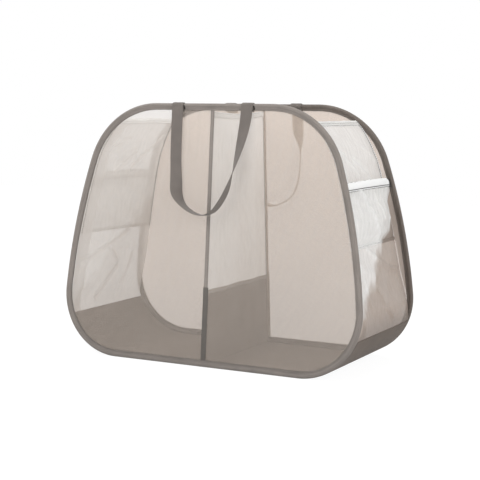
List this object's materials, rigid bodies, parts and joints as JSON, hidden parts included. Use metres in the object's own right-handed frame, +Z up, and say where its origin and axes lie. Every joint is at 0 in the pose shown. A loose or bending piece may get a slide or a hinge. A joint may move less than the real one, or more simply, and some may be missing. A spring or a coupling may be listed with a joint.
{
  "type": "pop up laundry hamper",
  "caption": "Freestanding pop up laundry hamper: sprung wire hoops carry mesh end panels, sheer side walls with elastic-topped pockets, a divider and webbing handles.",
  "frame": {"origin": "on the floor, under the middle of the hamper", "axes": "+X along the wide mesh panels to the right, +Y from the front panel to the back one, +Z up"},
  "size_m": [0.6672, 0.3106, 0.5206],
  "materials": {
    "binding": "woven tape",
    "mesh": "fine open mesh",
    "sheer_cloth": "sheer, slightly crumpled",
    "white_tape": "soft woven",
    "divider_cloth": "sheer",
    "dark_cloth": "plain weave",
    "webbing": "ribbed webbing",
    "dark_thread": "stitching",
    "spring_steel": "drawn wire",
    "ferrule": "crimped sleeve"
  },
  "bodies": {
    "front_frame": {"front_hoop_wire": "spring_steel", "front_wire_ferrule": "ferrule", "front_binding": "binding", "front_mesh_panel": "mesh", "front_lower_seam_tape": "binding", "front_upper_seam_tape": "binding", "front_left_handle_wrap": "webbing", "front_left_bartack": "dark_thread", "left_front_band_tack": "dark_thread", "front_right_handle_wrap": "webbing", "front_right_bartack": "dark_thread", "right_front_band_tack": "dark_thread", "left_side_wall": "sheer_cloth", "left_side_wall_hem": "white_tape", "left_pocket_seam": "white_tape", "left_pocket": "sheer_cloth", "left_pocket_band": "white_tape", "right_side_wall": "sheer_cloth", "right_side_wall_hem": "white_tape", "right_pocket_seam": "white_tape", "right_pocket": "sheer_cloth", "right_pocket_band": "white_tape", "base_cloth": "dark_cloth", "divider_lower_cloth": "dark_cloth", "divider_joint_seam": "binding", "divider_upper_cloth": "divider_cloth", "divider_top_hem": "white_tape"},
    "back_foot": {"back_wire_ferrule": "ferrule"},
    "back_frame": {"back_hoop_wire": "spring_steel", "back_binding": "binding", "back_mesh_panel": "mesh", "back_lower_seam_tape": "binding", "back_upper_seam_tape": "binding", "back_left_handle_wrap": "webbing", "back_left_bartack": "dark_thread", "left_back_band_tack": "dark_thread", "back_right_handle_wrap": "webbing", "back_right_bartack": "dark_thread", "right_back_band_tack": "dark_thread"},
    "front_handle": {"front_handle": "webbing"},
    "back_handle": {"back_handle": "webbing"}
  },
  "joints": [
    {"name": "back_hoop_slide", "type": "slide", "parent": "front_frame", "child": "back_foot", "axis": [0, -1, 0], "range_m": [0, 0.27], "deforming": ["left_side_wall", "left_side_wall_hem", "left_pocket_seam", "left_pocket", "left_pocket_band", "right_side_wall", "right_side_wall_hem", "right_pocket_seam", "right_pocket", "right_pocket_band", "base_cloth", "divider_lower_cloth", "divider_joint_seam", "divider_upper_cloth", "divider_top_hem"]},
    {"name": "back_hoop_tilt", "type": "hinge", "parent": "back_foot", "child": "back_frame", "pos_m": [0, 0.14571, 0.00413], "axis": [-1, 0, 0], "range_deg": [0, 7.4]},
    {"name": "front_handle_swing", "type": "hinge", "parent": "front_frame", "child": "front_handle", "pos_m": [0, -0.11601, 0.51534], "axis": [-1, 0, 0], "range_deg": [0, 175]},
    {"name": "back_handle_swing", "type": "hinge", "parent": "back_frame", "child": "back_handle", "pos_m": [0, 0.11601, 0.51534], "axis": [1, 0, 0], "range_deg": [0, 175]}
  ],
  "couplings": [
    {"joint": "back_hoop_tilt", "follows": "back_hoop_slide", "rad_per_m": 0.4781}
  ]
}
